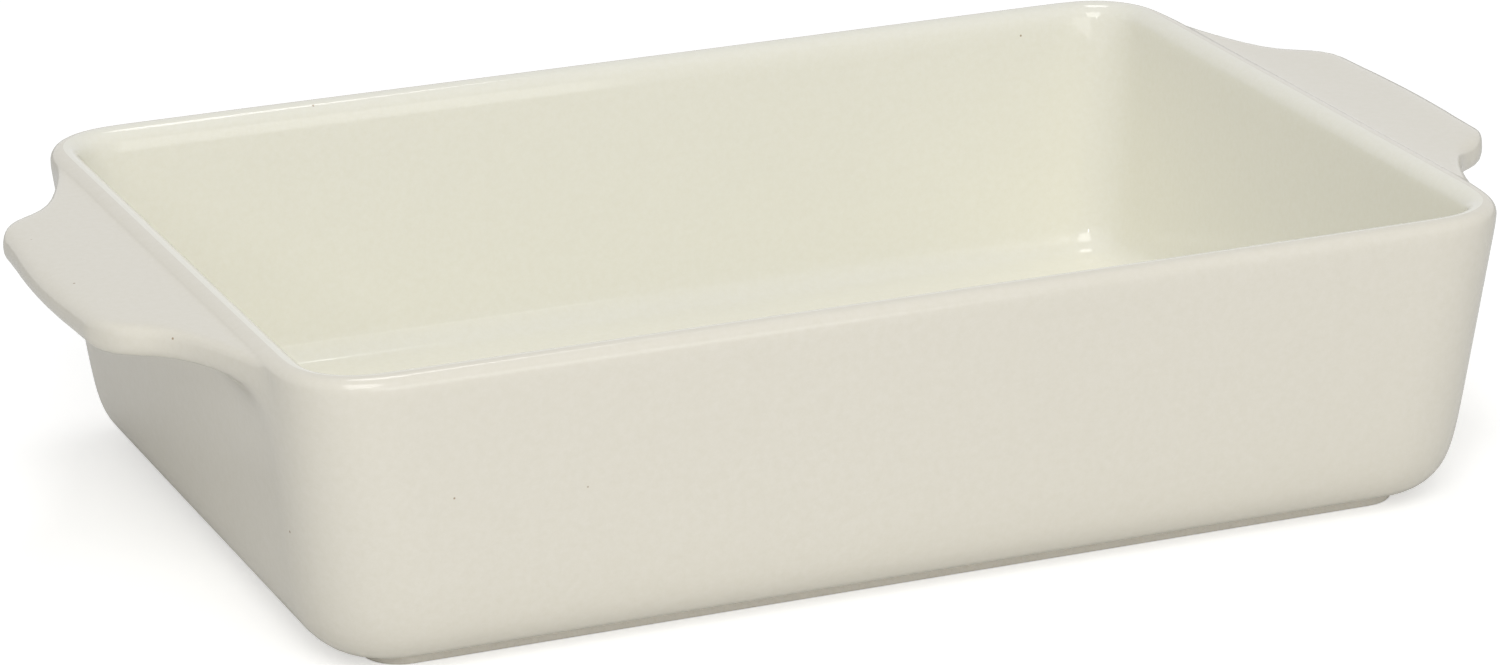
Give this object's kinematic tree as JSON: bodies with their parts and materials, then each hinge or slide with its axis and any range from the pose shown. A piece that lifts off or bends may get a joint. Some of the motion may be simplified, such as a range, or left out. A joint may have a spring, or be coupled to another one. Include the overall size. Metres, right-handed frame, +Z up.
{
  "type": "lasagna dish",
  "caption": "Deep rectangular glazed stoneware oven dish with leaning walls, rounded rim, flat end handles and a bare foot ring; holds food for baking.",
  "frame": {"origin": "on the table, under the middle of the dish", "axes": "+X along the length from handle to handle, +Y across the width, +Z up out of the well"},
  "size_m": [0.3806, 0.23, 0.08],
  "materials": {
    "bare_clay": "fired stoneware, matt, ground flat on the foot ring",
    "liner_glaze": "smooth cream glaze, glossy",
    "outer_glaze": "smooth cream glaze, satin",
    "base_glaze": "smooth cream glaze, thin and a little uneven"
  },
  "bodies": {
    "root": {"stoneware_body": "bare_clay", "liner_glaze": "liner_glaze", "outer_glaze": "outer_glaze", "base_glaze": "base_glaze"}
  },
  "joints": []
}
